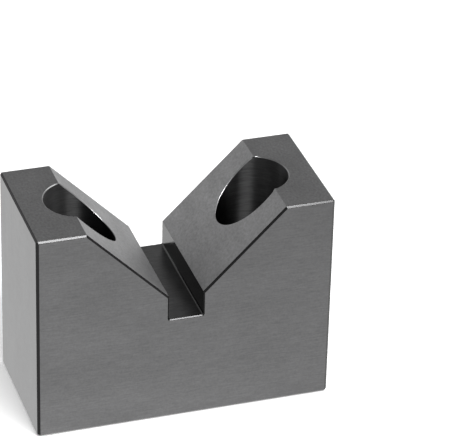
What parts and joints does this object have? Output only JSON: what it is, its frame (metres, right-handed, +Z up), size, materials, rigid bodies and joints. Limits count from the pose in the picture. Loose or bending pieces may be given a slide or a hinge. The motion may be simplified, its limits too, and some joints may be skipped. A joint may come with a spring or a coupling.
{
  "type": "v block",
  "caption": "Low ground steel V block with a 90 degree V, a relief slot at its foot and a counterbored screw hole down through each flank.",
  "frame": {"origin": "middle of the base, on the face that rests on the table", "axes": "+X across the V, +Y along the V, +Z up, out of the V's mouth"},
  "size_m": [0.085, 0.04, 0.063],
  "materials": {
    "block": "black oxided tool steel, finely ground faces, darker machined slot, bores and chamfers"
  },
  "bodies": {
    "root": {"v_block": "block"}
  },
  "joints": []
}
